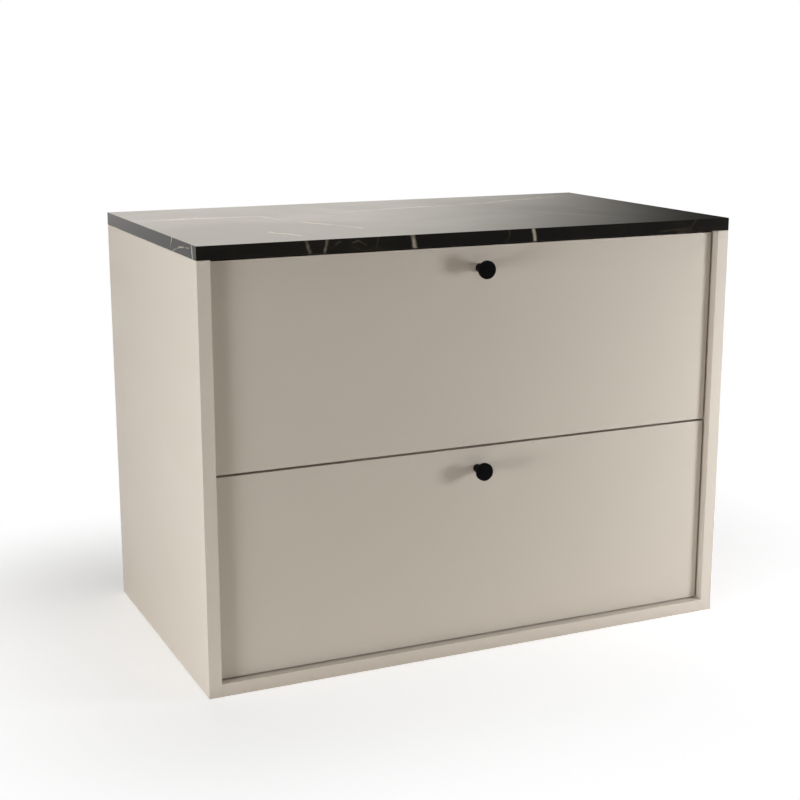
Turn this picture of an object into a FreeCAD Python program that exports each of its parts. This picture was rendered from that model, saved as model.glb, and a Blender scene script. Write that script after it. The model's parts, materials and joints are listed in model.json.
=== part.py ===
import FreeCAD, Part
import os

# Wall-hung vanity cabinet with two inset drawers on full-extension ball-bearing runners.
# Millimetres. X runs to the right, Y to the wall behind, Z up.
# The origin is the centre of the carcass underside.

# Carcass
cabinet_width = 800.0
cabinet_depth = 450.0
cabinet_height = 600.0
worktop_thickness = 18.0
board_thickness = 18.0
edge_round = 0.5
stretcher_width = 80.0
stretcher_gap = 3.0
rail_height = 90.0
wall_hole_diameter = 8.0
wall_hole_inset = 82.0

# Drawer fronts
front_recess = 12.0
gap_side = 3.0
gap_between = 3.0
gap_top = 3.0
gap_bottom = 2.0

# Drawer boxes
box_board = 16.0
box_bottom_thickness = 6.0
box_rise = 14.0
box_headroom = 64.0
service_space = 50.0
groove_depth = 6.0
groove_play = 0.2
groove_height = 10.0
trap_width = 220.0
trap_front_space = 140.0

# Runners
runner_thickness = 12.7
runner_height = 45.0
runner_setback = 2.0
runner_level = 70.0
sheet = 1.2
ball_diameter = 3.0
ball_play = 0.05
race_depth = 0.4
cage_sheet = 0.4
cage_play = 0.2
cage_strip = 0.6
cage_reach = 2.4
cage_end_room = 12.5
ball_pitch = 30.0
tip_room = 0.9
flange_step = 1.6

# Knobs
knob_diameter = 25.0
knob_rim = 5.0
knob_cone = 5.0
knob_stem_diameter = 12.0
knob_projection = 25.0
knob_drop = 30.0
knob_edge = 0.6
knob_thread_depth = 9.0

# Fixings. A cover is the wood left beyond a blind end.
fixing_play = 0.1
dowel_diameter = 8.0
dowel_length = 30.0
dowel_cover = 5.0
box_dowel_diameter = 6.0
box_dowel_length = 24.0
box_dowel_cover = 4.0
box_dowel_inset = 40.0
cam_diameter = 15.0
cam_depth = 12.5
cam_setback = 34.0
cam_bolt_diameter = 7.0
cam_bolt_cover = 7.0
joint_inset = 60.0
joint_pitch = 32.0
joint_margin = 24.0
screw_diameter = 4.0
screw_head_diameter = 8.0
screw_head_height = 2.5
screw_cover = 7.0
recess_width = 1.2
recess_length = 4.4
recess_depth = 1.4
worktop_screw_inset = 132.0
front_screw_inset = 93.0
front_screw_margin = 60.0
trap_screw_inset = 30.0
runner_screw_diameter = 3.5
runner_screw_head = 6.0
runner_screw_cover = 5.0
runner_screw_inset = 37.0

# Planes of the carcass
half_width = cabinet_width / 2
inner_half = half_width - board_thickness
front_y = -cabinet_depth / 2
back_y = cabinet_depth / 2
carcass_top = cabinet_height - worktop_thickness
stretcher_z = carcass_top - board_thickness
hanging_rail_z = stretcher_z - rail_height
rail_front_y = back_y - board_thickness
rear_stretcher_y = back_y - stretcher_width

# Planes of the drawer fronts
front_height = (carcass_top - board_thickness - gap_top - gap_between - gap_bottom) / 2
front_half = inner_half - gap_side
front_face_y = front_y + front_recess
front_back_y = front_face_y + board_thickness
front_stretcher_y = front_back_y + stretcher_gap
lower_front_z = board_thickness + gap_bottom
upper_front_z = lower_front_z + front_height + gap_between

# Planes of the drawer boxes, whose sides meet the runners
box_half = inner_half - runner_thickness
box_inner_half = box_half - box_board
box_height = front_height - box_rise - box_headroom
box_front_y = front_back_y
box_back_y = rail_front_y - service_space
box_wall_front_y = box_front_y + box_board
box_wall_back_y = box_back_y - box_board
trap_half = trap_width / 2
trap_outer_half = trap_half + box_board
trap_front_y = box_wall_front_y + trap_front_space

# Runner section: u is measured from the carcass side, half heights from the runner's middle
runner_front_y = front_back_y + runner_setback
runner_length = box_back_y - runner_front_y
runner_levels = {
    "upper": upper_front_z + box_rise + runner_level,
    "lower": lower_front_z + box_rise + runner_level,
}
cage_space = cage_play + cage_sheet + cage_play
ball_radius = ball_diameter / 2
race_radius = ball_radius + ball_play
race_offset = race_radius - race_depth
middle_web_u = sheet + cage_space
drawer_tip_u = middle_web_u + sheet + cage_space
drawer_web_u = runner_thickness - sheet
middle_tip_u = drawer_web_u - tip_room
outer_tip_u = middle_tip_u - flange_step
outer_half = runner_height / 2
outer_ball_z = outer_half - sheet - race_offset
middle_half = outer_ball_z - race_offset
inner_ball_z = middle_half - sheet - race_offset
drawer_half = inner_ball_z - race_offset
outer_ball_u = (middle_web_u + outer_tip_u) / 2
inner_ball_u = (drawer_tip_u + middle_tip_u) / 2
cage_length = runner_length / 2 - 2 * cage_end_room

# Reach of the fixings
screw_hole = screw_diameter + 2 * fixing_play
screw_bite = min(worktop_thickness, board_thickness) - screw_cover
runner_screw_bite = min(board_thickness, box_board) - runner_screw_cover
cam_bolt_grip = board_thickness - cam_bolt_cover
worktop_screw_x = inner_half - worktop_screw_inset
front_screw_x = box_inner_half - front_screw_inset

SIDES = {"left": -1, "right": 1}
AXIS_X = FreeCAD.Vector(1, 0, 0)
AXIS_Y = FreeCAD.Vector(0, 1, 0)
AXIS_Z = FreeCAD.Vector(0, 0, 1)


def block(x0, x1, y0, y1, z0, z1):
    """A box between two corners; the two X values come in either order."""
    corner = FreeCAD.Vector(min(x0, x1), y0, z0)
    return Part.makeBox(abs(x1 - x0), y1 - y0, z1 - z0, corner)


def board(x0, x1, y0, y1, z0, z1):
    """A finished board: a box with every edge eased."""
    solid = block(x0, x1, y0, y1, z0, z1)
    return solid.makeFillet(edge_round, solid.Edges)


def rod(diameter, start, axis, length):
    """A round bar or hole from a start point along an axis."""
    return Part.makeCylinder(diameter / 2, length, FreeCAD.Vector(*start), axis)


def drilled(solid, diameter, points, axis, length):
    """The solid with one round hole from each point."""
    return solid.cut([rod(diameter, point, axis, length) for point in points])


def cross_recess(mouth, axis):
    """The driver's cross, cut into a screw head from its mouth along the axis."""
    bars = []
    for length, width in ((recess_length, recess_width), (recess_width, recess_length)):
        corner = FreeCAD.Vector(-length / 2, -width / 2, 0)
        bars.append(Part.makeBox(length, width, recess_depth, corner))
    cross = bars[0].fuse(bars[1])
    cross.Placement = FreeCAD.Placement(mouth, FreeCAD.Rotation(AXIS_Z, axis))
    return cross


def screw(seat, axis, length):
    """A pan-head screw whose head seats at a point and whose shank runs along the axis."""
    head_start = FreeCAD.Vector(*seat) - axis * screw_head_height
    head = rod(screw_head_diameter, head_start, axis, screw_head_height)
    shank = rod(screw_diameter, seat, axis, length)
    return head.fuse(shank).cut(cross_recess(head_start, axis))


# Carcass


def end_joint_places(from_edge, rail_offset, edge_offset):
    """Where the board ends meet a side, as (y, z, direction of a cam's mouth)."""
    bottom_z = board_thickness / 2
    stretcher_mid_z = stretcher_z + board_thickness / 2
    rail_mid_y = rail_front_y + board_thickness / 2
    return [
        (front_y + from_edge, bottom_z, AXIS_Z),
        (back_y - from_edge, bottom_z, AXIS_Z),
        (front_stretcher_y + edge_offset, stretcher_mid_z, -AXIS_Z),
        (rear_stretcher_y + edge_offset, stretcher_mid_z, -AXIS_Z),
        (rail_mid_y, board_thickness + rail_offset, -AXIS_Y),
        (rail_mid_y, hanging_rail_z + rail_offset, -AXIS_Y),
    ]


def dowel_places():
    return end_joint_places(joint_inset, joint_margin, joint_margin)


def cam_places():
    rail_offset = rail_height - joint_margin
    edge_offset = stretcher_width - joint_margin
    return end_joint_places(joint_inset + joint_pitch, rail_offset, edge_offset)


def cross_rod(diameter, side, outer_x, length, y, z):
    """A round bar or hole along X that starts inside a side and runs towards the middle."""
    low = min(side * outer_x, side * (outer_x - length))
    return rod(diameter, (low, y, z), AXIS_X, length)


def dowel_at(side, y, z, play):
    """A dowel, or with play its hole, from inside a side panel into a board's end."""
    outer_x = half_width - dowel_cover + play
    return cross_rod(dowel_diameter + 2 * play, side, outer_x, dowel_length + 2 * play, y, z)


def cam_bolt_at(side, y, z, play):
    """A cam bolt, or with play its bore, from inside a side panel to the edge of its cam."""
    outer_x = inner_half + cam_bolt_grip + play
    length = cam_bolt_grip + cam_setback - cam_diameter / 2 + play
    return cross_rod(cam_bolt_diameter + 2 * play, side, outer_x, length, y, z)


def cam_at(side, y, z, mouth, play):
    """A cam disc, or with play its pocket, sunk into the face of a board near its end."""
    centre = FreeCAD.Vector(side * (inner_half - cam_setback), y, z)
    start = centre + mouth * (board_thickness / 2 - cam_depth - play)
    return Part.makeCylinder(cam_diameter / 2 + play, cam_depth + play, start, mouth)


def carcass_dowels(play):
    return [dowel_at(side, y, z, play) for side in SIDES.values() for y, z, mouth in dowel_places()]


def carcass_cam_bolts(play):
    return [cam_bolt_at(side, y, z, play) for side in SIDES.values() for y, z, mouth in cam_places()]


def carcass_cams(play):
    return [cam_at(side, *place, play) for side in SIDES.values() for place in cam_places()]


def joint_voids():
    """Every hole and pocket of the carcass joints."""
    return carcass_dowels(fixing_play) + carcass_cam_bolts(fixing_play) + carcass_cams(fixing_play)


def side_panel(side):
    """A side panel, bored for its joints and its two runners."""
    solid = board(side * inner_half, side * half_width, front_y, back_y, 0, carcass_top)
    return solid.cut(joint_voids() + runner_screw_holes(side * inner_half, side))


def bottom_panel():
    """The bottom panel, between the sides and flush with their lower ends."""
    return board(-inner_half, inner_half, front_y, back_y, 0, board_thickness).cut(joint_voids())


def worktop_screw_places(z):
    """Where the worktop screws pass the level z."""
    rows = [y0 + stretcher_width / 2 for y0 in (front_stretcher_y, rear_stretcher_y)]
    return [(x, y, z) for x in (-worktop_screw_x, worktop_screw_x) for y in rows]


def stretcher(y0):
    """A flat board under the worktop that ties the sides together."""
    solid = board(-inner_half, inner_half, y0, y0 + stretcher_width, stretcher_z, carcass_top)
    solid = solid.cut(joint_voids())
    return drilled(solid, screw_hole, worktop_screw_places(stretcher_z), AXIS_Z, board_thickness)


def wall_rail(z0):
    """A rear rail on edge, with its two holes for wall screws."""
    solid = board(-inner_half, inner_half, rail_front_y, back_y, z0, z0 + rail_height).cut(joint_voids())
    reach = inner_half - wall_hole_inset
    places = [(x, rail_front_y, z0 + rail_height / 2) for x in (-reach, reach)]
    return drilled(solid, wall_hole_diameter, places, AXIS_Y, board_thickness)


def worktop():
    """The worktop, flush with the carcass all round, with blind holes for its screws."""
    solid = board(-half_width, half_width, front_y, back_y, carcass_top, cabinet_height)
    return drilled(solid, screw_hole, worktop_screw_places(carcass_top), AXIS_Z, screw_bite + fixing_play)


def worktop_screws():
    length = board_thickness + screw_bite
    return [screw(place, AXIS_Z, length) for place in worktop_screw_places(stretcher_z)]


# Runners


def at_side(side, u):
    """The X of a place that lies u from the carcass side towards the drawer."""
    return side * (inner_half - u)


def channel(side, web_u, tip_u, half, middle_z):
    """A C section along Y: a web of sheet metal, and flanges from it to their tips."""
    web_end_u = web_u + sheet
    hollow_u = web_end_u if tip_u > web_u else web_u
    back_u = web_u if tip_u > web_u else web_end_u
    y0 = runner_front_y
    y1 = y0 + runner_length
    outside = block(at_side(side, back_u), at_side(side, tip_u), y0, y1, middle_z - half, middle_z + half)
    gap_half = half - sheet
    low_z = middle_z - gap_half
    high_z = middle_z + gap_half
    inside = block(at_side(side, hollow_u), at_side(side, tip_u), y0, y1, low_z, high_z)
    return outside.cut(inside)


def ball_tracks(side, ball_u, ball_z, middle_z):
    """The two grooves that a pair of ball rows runs in."""
    x = at_side(side, ball_u)
    rows = (middle_z - ball_z, middle_z + ball_z)
    return [rod(2 * race_radius, (x, runner_front_y, z), AXIS_Y, runner_length) for z in rows]


def outer_tracks(side, middle_z):
    return ball_tracks(side, outer_ball_u, outer_ball_z, middle_z)


def inner_tracks(side, middle_z):
    return ball_tracks(side, inner_ball_u, inner_ball_z, middle_z)


def cabinet_rail(side, middle_z):
    """The fixed rail on the carcass side."""
    solid = channel(side, 0, outer_tip_u, outer_half, middle_z)
    return solid.cut(outer_tracks(side, middle_z) + runner_screw_holes(side * inner_half, side))


def middle_rail(side, middle_z):
    """The rail between, which runs out half as far as the drawer."""
    solid = channel(side, middle_web_u, middle_tip_u, middle_half, middle_z)
    return solid.cut(outer_tracks(side, middle_z) + inner_tracks(side, middle_z))


def drawer_rail(side, middle_z):
    """The rail on the drawer's side, open towards the carcass."""
    solid = channel(side, drawer_web_u, drawer_tip_u, drawer_half, middle_z)
    return solid.cut(inner_tracks(side, middle_z) + runner_screw_holes(side * box_half, -side))


def runner_screw_rows():
    """The Y of each screw along a runner."""
    first = runner_front_y + runner_screw_inset
    last = runner_front_y + runner_length - runner_screw_inset
    return [first, (first + last) / 2, last]


def runner_screw(seat_x, outward, y, z, play):
    """A flush countersunk screw, or with play its hole, through a rail's web into a board."""
    axis = AXIS_X * outward
    head_start = FreeCAD.Vector(seat_x - outward * sheet, y, z)
    wide = runner_screw_head / 2 + play
    narrow = runner_screw_diameter / 2 + play
    head = Part.makeCone(wide, narrow, sheet, head_start, axis)
    shank = rod(2 * narrow, (seat_x, y, z), axis, runner_screw_bite + play)
    return head.fuse(shank)


def runner_screw_holes(seat_x, outward):
    """The runner screw holes at one plane, for both drawers' levels."""
    levels = runner_levels.values()
    return [runner_screw(seat_x, outward, y, z, fixing_play) for z in levels for y in runner_screw_rows()]


def cabinet_rail_screws():
    levels = runner_levels.values()
    return [runner_screw(side * inner_half, side, y, z, 0)
            for side in SIDES.values() for z in levels for y in runner_screw_rows()]


def drawer_rail_screws(middle_z):
    return [runner_screw(side * box_half, -side, y, middle_z, 0)
            for side in SIDES.values() for y in runner_screw_rows()]


def ball_rows():
    """The Y of each ball, spread evenly about the middle of the cage."""
    count = int((cage_length - ball_diameter) / ball_pitch) + 1
    first = runner_front_y + runner_length / 2 - (count - 1) * ball_pitch / 2
    return [first + i * ball_pitch for i in range(count)]


def ball_cage(side, web_u, ball_u, ball_z, middle_z):
    """One bent cage and its balls, as separate solids."""
    y0 = runner_front_y + (runner_length - cage_length) / 2
    y1 = y0 + cage_length
    strip_half = cage_strip / 2
    half = ball_z + strip_half
    web_x = at_side(side, web_u)
    tip_x = at_side(side, ball_u + cage_reach)
    ball_x = at_side(side, ball_u)
    cage = block(web_x, at_side(side, web_u + cage_sheet), y0, y1, middle_z - half, middle_z + half)
    centres = []
    for z in (middle_z - ball_z, middle_z + ball_z):
        cage = cage.fuse(block(web_x, tip_x, y0, y1, z - strip_half, z + strip_half))
        centres += [FreeCAD.Vector(ball_x, y, z) for y in ball_rows()]
    pockets = [Part.makeSphere(race_radius, centre) for centre in centres]
    balls = [Part.makeSphere(ball_radius, centre) for centre in centres]
    return [cage.removeSplitter().cut(pockets)] + balls


def outer_cages(middle_z):
    """The cages between the cabinet rails and the middle rails, left and right."""
    web_u = sheet + cage_play
    return [solid for side in SIDES.values()
            for solid in ball_cage(side, web_u, outer_ball_u, outer_ball_z, middle_z)]


def inner_cages(middle_z):
    """The cages between the middle rails and the drawer rails, left and right."""
    web_u = middle_web_u + sheet + cage_play
    return [solid for side in SIDES.values()
            for solid in ball_cage(side, web_u, inner_ball_u, inner_ball_z, middle_z)]


# Drawer fronts and knobs


def knob_level(front_z):
    return front_z + front_height - knob_drop


def knob(front_z):
    """A turned knob: stem, flared neck and flat disc, with a threaded hole from behind."""
    z = knob_level(front_z)
    stem = knob_stem_diameter / 2
    head = knob_diameter / 2
    rim_start = knob_projection - knob_rim
    profile = [
        (0, 0),
        (stem, 0),
        (stem, rim_start - knob_cone),
        (head, rim_start),
        (head, knob_projection - knob_edge),
        (head - knob_edge, knob_projection),
        (0, knob_projection),
        (0, 0),
    ]
    outline = Part.makePolygon([FreeCAD.Vector(r, front_face_y - out, z) for r, out in profile])
    base = FreeCAD.Vector(0, front_face_y, z)
    turned = Part.Face(outline).revolve(base, AXIS_Y, 360)
    return turned.cut(rod(screw_hole, base, -AXIS_Y, knob_thread_depth + fixing_play))


def knob_screw(front_z):
    return screw((0, front_back_y, knob_level(front_z)), -AXIS_Y, board_thickness + knob_thread_depth)


def front_screw_places(front_z, y):
    """Where the screws that hold a decorative front on its box pass the plane y."""
    low = front_z + box_rise + front_screw_margin
    high = front_z + box_rise + box_height - front_screw_margin
    return [(x, y, z) for x in (-front_screw_x, front_screw_x) for z in (low, high)]


def drawer_front(front_z):
    """A decorative front, bored for its knob and for the screws from its box."""
    solid = board(-front_half, front_half, front_face_y, front_back_y, front_z, front_z + front_height)
    solid = drilled(solid, screw_hole, [(0, front_face_y, knob_level(front_z))], AXIS_Y, board_thickness)
    places = front_screw_places(front_z, front_back_y)
    return drilled(solid, screw_hole, places, -AXIS_Y, screw_bite + fixing_play)


def front_screws(front_z):
    length = box_board + screw_bite
    return [screw(place, -AXIS_Y, length) for place in front_screw_places(front_z, box_wall_front_y)]


# Drawer boxes


def bottom_groove(front_z):
    """The slot round the inside of a box that takes its bottom."""
    z0 = front_z + box_rise + groove_height - groove_play
    z1 = z0 + box_bottom_thickness + 2 * groove_play
    reach = box_inner_half + groove_depth
    return block(-reach, reach, box_wall_front_y - groove_depth, box_wall_back_y + groove_depth, z0, z1)


def corner_dowels(front_z, side, seat_x, y, play):
    """The dowels, or with play their holes, that run from a board met at seat_x into a wall's end."""
    z0 = front_z + box_rise
    outer_x = seat_x + box_board - box_dowel_cover + play
    length = box_dowel_length + 2 * play
    rows = (z0 + box_dowel_inset, z0 + box_height - box_dowel_inset)
    return [cross_rod(box_dowel_diameter + 2 * play, side, outer_x, length, y, z) for z in rows]


def box_dowels(front_z, play):
    """The dowels, or with play their holes, of the four corners of a box."""
    rows = (box_front_y + box_board / 2, box_back_y - box_board / 2)
    return [d for side in SIDES.values() for y in rows
            for d in corner_dowels(front_z, side, box_inner_half, y, play)]


def trap_dowels(play):
    """The dowels, or with play their holes, between the back halves and the trap walls."""
    y = box_back_y - box_board / 2
    return [d for side in SIDES.values()
            for d in corner_dowels(upper_front_z, -side, -trap_outer_half, y, play)]


def box_side(side, front_z):
    """A side of a box, grooved for the bottom and bored for its corners and its runner."""
    z0 = front_z + box_rise
    solid = board(side * box_inner_half, side * box_half, box_front_y, box_back_y, z0, z0 + box_height)
    holes = box_dowels(front_z, fixing_play) + runner_screw_holes(side * box_half, -side)
    return solid.cut(holes + [bottom_groove(front_z)])


def cross_wall(x0, x1, y0, front_z):
    """A wall between the sides of a box: its inner front, its back or half of its back."""
    z0 = front_z + box_rise
    solid = board(x0, x1, y0, y0 + box_board, z0, z0 + box_height)
    return solid.cut(box_dowels(front_z, fixing_play) + [bottom_groove(front_z)])


def inner_front(front_z):
    """The front wall of a box, which the decorative front is screwed to."""
    solid = cross_wall(-box_inner_half, box_inner_half, box_front_y, front_z)
    return drilled(solid, screw_hole, front_screw_places(front_z, box_front_y), AXIS_Y, box_board)


def box_bottom(front_z):
    """A plain bottom, held in the groove on all four sides."""
    z0 = front_z + box_rise + groove_height
    reach = box_inner_half + groove_depth - groove_play
    y0 = box_wall_front_y - groove_depth + groove_play
    y1 = box_wall_back_y + groove_depth - groove_play
    return block(-reach, reach, y0, y1, z0, z0 + box_bottom_thickness)


def lower_back():
    return cross_wall(-box_inner_half, box_inner_half, box_wall_back_y, lower_front_z)


# The cut-out in the upper box that clears a basin's trap

trap_underside_z = upper_front_z + box_rise + groove_height
trap_floor_z = trap_underside_z + box_bottom_thickness
upper_box_top_z = upper_front_z + box_rise + box_height


def trap_screw_places():
    """Where the walls of the cut-out are screwed down through the bottom."""
    wall_x = trap_half + box_board / 2
    rows = (trap_front_y + trap_screw_inset, box_wall_back_y - trap_screw_inset)
    side_walls = [(side * wall_x, y, trap_underside_z) for side in SIDES.values() for y in rows]
    front_x = trap_half - trap_screw_inset
    front_wall = [(x, trap_front_y - box_board / 2, trap_underside_z) for x in (-front_x, front_x)]
    return side_walls + front_wall


def trapped_bottom():
    """The upper bottom, notched from behind."""
    notch = block(-trap_half, trap_half, trap_front_y, box_back_y, trap_underside_z, trap_floor_z)
    solid = box_bottom(upper_front_z).cut(notch)
    return drilled(solid, screw_hole, trap_screw_places(), AXIS_Z, box_bottom_thickness)


def trap_wall(x0, x1, y0, y1):
    """A wall of the cut-out, standing on the bottom."""
    solid = board(x0, x1, y0, y1, trap_floor_z, upper_box_top_z).cut(trap_dowels(fixing_play))
    reach = box_bottom_thickness + screw_bite + fixing_play
    return drilled(solid, screw_hole, trap_screw_places(), AXIS_Z, reach)


def trap_side_wall(side):
    return trap_wall(side * trap_half, side * trap_outer_half, trap_front_y, box_back_y)


def trap_front_wall():
    return trap_wall(-trap_outer_half, trap_outer_half, trap_front_y - box_board, trap_front_y)


def trap_wall_screws():
    length = box_bottom_thickness + screw_bite
    return [screw(place, AXIS_Z, length) for place in trap_screw_places()]


def back_half(side):
    """One half of the upper back, between a box side and the cut-out."""
    solid = cross_wall(side * trap_outer_half, side * box_inner_half, box_wall_back_y, upper_front_z)
    return solid.cut(trap_dowels(fixing_play))


# The whole set


def carcass_nodes():
    nodes = {
        "worktop": worktop(),
        "bottom_panel": bottom_panel(),
        "front_stretcher": stretcher(front_stretcher_y),
        "rear_stretcher": stretcher(rear_stretcher_y),
        "hanging_rail": wall_rail(hanging_rail_z),
        "bottom_rear_rail": wall_rail(board_thickness),
        "carcass_dowels": carcass_dowels(0),
        "carcass_cams": carcass_cams(0),
        "carcass_cam_bolts": carcass_cam_bolts(0),
        "worktop_screws": worktop_screws(),
        "cabinet_rail_screws": cabinet_rail_screws(),
    }
    for name, side in SIDES.items():
        nodes[f"{name}_side_panel"] = side_panel(side)
        for level, middle_z in runner_levels.items():
            nodes[f"{level}_{name}_cabinet_rail"] = cabinet_rail(side, middle_z)
    return nodes


def drawer_nodes(level, front_z):
    """What both drawers have alike."""
    middle_z = runner_levels[level]
    nodes = {
        "drawer_front": drawer_front(front_z),
        "inner_front": inner_front(front_z),
        "knob": knob(front_z),
        "knob_screw": knob_screw(front_z),
        "front_screws": front_screws(front_z),
        "drawer_rail_screws": drawer_rail_screws(middle_z),
        "outer_ball_cages": outer_cages(middle_z),
        "inner_ball_cages": inner_cages(middle_z),
    }
    for name, side in SIDES.items():
        nodes[f"{name}_box_side"] = box_side(side, front_z)
        nodes[f"{name}_middle_rail"] = middle_rail(side, middle_z)
        nodes[f"{name}_drawer_rail"] = drawer_rail(side, middle_z)
    return {f"{level}_{name}": shape for name, shape in nodes.items()}


def upper_box_nodes():
    nodes = {
        "upper_box_bottom": trapped_bottom(),
        "upper_box_dowels": box_dowels(upper_front_z, 0) + trap_dowels(0),
        "upper_trap_front_wall": trap_front_wall(),
        "upper_trap_wall_screws": trap_wall_screws(),
    }
    for name, side in SIDES.items():
        nodes[f"upper_{name}_box_back"] = back_half(side)
        nodes[f"upper_{name}_trap_wall"] = trap_side_wall(side)
    return nodes


def lower_box_nodes():
    return {
        "lower_box_bottom": box_bottom(lower_front_z),
        "lower_box_back": lower_back(),
        "lower_box_dowels": box_dowels(lower_front_z, 0),
    }


def main():
    os.makedirs("parts", exist_ok=True)
    nodes = carcass_nodes()
    nodes.update(drawer_nodes("upper", upper_front_z))
    nodes.update(drawer_nodes("lower", lower_front_z))
    nodes.update(upper_box_nodes())
    nodes.update(lower_box_nodes())
    for name, shape in nodes.items():
        solid = Part.makeCompound(shape) if isinstance(shape, list) else shape
        solid.exportStep(f"parts/{name}.step")
        print(name, len(solid.Solids), "solids", round(solid.Volume), "mm3", "valid", solid.isValid())
    print(len(nodes), "nodes; runner length and travel", runner_length)


main()
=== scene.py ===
# %% [markdown]
# # A wall-hung vanity cabinet in Blender
#
# The cabinet is a beige lacquered carcass with a thin black marble-look worktop and two drawers set back
# inside the frame. Its boards, runners and joints come from a CAD model, which is loaded here as a fixed
# frame in metres: X runs to the right, Y to the wall behind, Z up. This lesson gives the boards their
# finishes, and swaps the small turned and cast pieces for finer ones. The CAD nodes that are swapped
# are kept, only hidden.

# %% Load the CAD frame
import json
import math

import bmesh
import bpy
from mathutils import Matrix, Vector


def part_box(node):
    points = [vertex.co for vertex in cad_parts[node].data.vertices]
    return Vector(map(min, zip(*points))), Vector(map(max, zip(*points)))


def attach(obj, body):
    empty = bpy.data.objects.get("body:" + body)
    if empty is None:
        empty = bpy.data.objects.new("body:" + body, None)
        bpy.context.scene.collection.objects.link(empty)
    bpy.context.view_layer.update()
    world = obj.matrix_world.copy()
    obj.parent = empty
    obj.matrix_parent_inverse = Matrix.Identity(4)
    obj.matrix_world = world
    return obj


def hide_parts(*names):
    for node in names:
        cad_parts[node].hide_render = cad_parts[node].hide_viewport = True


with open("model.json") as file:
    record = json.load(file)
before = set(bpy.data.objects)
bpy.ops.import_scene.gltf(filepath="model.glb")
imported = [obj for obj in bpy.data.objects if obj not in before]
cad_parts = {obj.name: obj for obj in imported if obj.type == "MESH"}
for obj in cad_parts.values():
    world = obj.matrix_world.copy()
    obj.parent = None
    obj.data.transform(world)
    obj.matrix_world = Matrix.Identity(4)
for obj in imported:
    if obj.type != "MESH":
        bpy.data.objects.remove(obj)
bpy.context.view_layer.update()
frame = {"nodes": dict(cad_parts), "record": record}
print("CAD nodes", len(frame["nodes"]))

# %% [markdown]
# ## Camera
#
# The picture was taken from the front left, a little above the worktop, with a long lens: the upright
# edges stay almost parallel. The place and lens were worked out from the corners of the boards, so the
# camera needs no shift, and a turn of only two angles keeps the horizon level.

# %% Set up the camera
camera_place = (-0.9352, -2.0036, 0.8306)
camera_turn = math.radians(24.53)
camera_dip = math.radians(12.99)
lens_length = 67.45
sensor_width = 36.0


def add_object(name, data):
    """An object at the origin, linked to the scene."""
    made = bpy.data.objects.new(name, data)
    bpy.context.scene.collection.objects.link(made)
    return made


camera_data = bpy.data.cameras.new("camera")
camera_data.lens = lens_length
camera_data.sensor_width = sensor_width
camera = add_object("camera", camera_data)
camera.location = camera_place
camera.rotation_euler = (math.pi / 2 - camera_dip, 0.0, -camera_turn)
bpy.context.scene.camera = camera
bpy.context.scene.view_settings.view_transform = "Standard"
print("camera at", camera_place, "lens", lens_length)

# %% [markdown]
# ## Node helpers
#
# Every finish below is a tree of nodes. Adding a node, choosing its settings and wiring its inputs takes
# many lines when written out, so one helper does all three, and short ones stand on it for the nodes that
# come up again and again. Two more start a node group with named inputs and outputs and place it in a
# tree, for the effects that several finishes share.

# %% Helpers for single nodes
def add_node(tree, kind, inputs=None, **settings):
    """A new node with its settings, whose inputs are linked to sockets or set to values."""
    made = tree.nodes.new(kind)
    for name, value in settings.items():
        setattr(made, name, value)
    for key, value in (inputs or {}).items():
        if isinstance(value, bpy.types.NodeSocket):
            tree.links.new(value, made.inputs[key])
        else:
            made.inputs[key].default_value = value
    return made


def math_node(tree, operation, *values, clamp=False):
    """The result of one sum or comparison of numbers."""
    made = add_node(tree, "ShaderNodeMath", dict(enumerate(values)), operation=operation, use_clamp=clamp)
    return made.outputs[0]


def vector_node(tree, operation, *values):
    """The node for one operation on vectors."""
    return add_node(tree, "ShaderNodeVectorMath", dict(enumerate(values)), operation=operation)


def scale_vector(tree, vector, factor):
    """A vector or colour made longer or shorter."""
    made = add_node(tree, "ShaderNodeVectorMath", {0: vector, "Scale": factor}, operation="SCALE")
    return made.outputs[0]


def map_range(tree, value, low, high, at_low=0.0, at_high=1.0, smooth=False):
    """A value that goes from one result to another between two limits, and stays there outside them."""
    sockets = {"Value": value, "From Min": low, "From Max": high, "To Min": at_low, "To Max": at_high}
    kind = "SMOOTHSTEP" if smooth else "LINEAR"
    return add_node(tree, "ShaderNodeMapRange", sockets, interpolation_type=kind).outputs[0]


print("helpers for single nodes ready")


# %% Helpers for colours and noises
def grey(value):
    """A colour without a tint."""
    return (value, value, value, 1.0)


def mix_colour(tree, factor, first, second):
    """A blend from the first colour to the second."""
    sockets = {"Factor": factor, "A": first, "B": second}
    return add_node(tree, "ShaderNodeMix", sockets, data_type="RGBA").outputs["Result"]


def noise_node(tree, place, scale, detail=2.0, distortion=0.0):
    """The value and the colour of a noise; both keep near the middle between 0 and 1."""
    sockets = {"Vector": place, "Scale": scale, "Detail": detail, "Distortion": distortion}
    return add_node(tree, "ShaderNodeTexNoise", sockets).outputs


noise_middle = 0.5


def swing(tree, noise, amount):
    """A noise as a swing to both sides of zero."""
    return math_node(tree, "MULTIPLY", math_node(tree, "SUBTRACT", noise, noise_middle), amount)


print("helpers for colours and noises ready")


# %% Helpers for trees and groups
def empty_tree(holder):
    """The node tree of a material or a world, with nothing in it yet."""
    holder.use_nodes = True
    holder.node_tree.nodes.clear()
    return holder.node_tree


def start_group(name, inputs, outputs):
    """An empty shader group, the sockets that enter it and those that leave it."""
    group = bpy.data.node_groups.new(name, "ShaderNodeTree")
    for title, (kind, value) in inputs.items():
        socket = group.interface.new_socket(title, in_out="INPUT", socket_type="NodeSocket" + kind)
        if value is not None:
            socket.default_value = value
    for title, kind in outputs.items():
        group.interface.new_socket(title, in_out="OUTPUT", socket_type="NodeSocket" + kind)
    entry = group.nodes.new("NodeGroupInput")
    leave = group.nodes.new("NodeGroupOutput")
    return group, entry.outputs, leave.inputs


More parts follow.
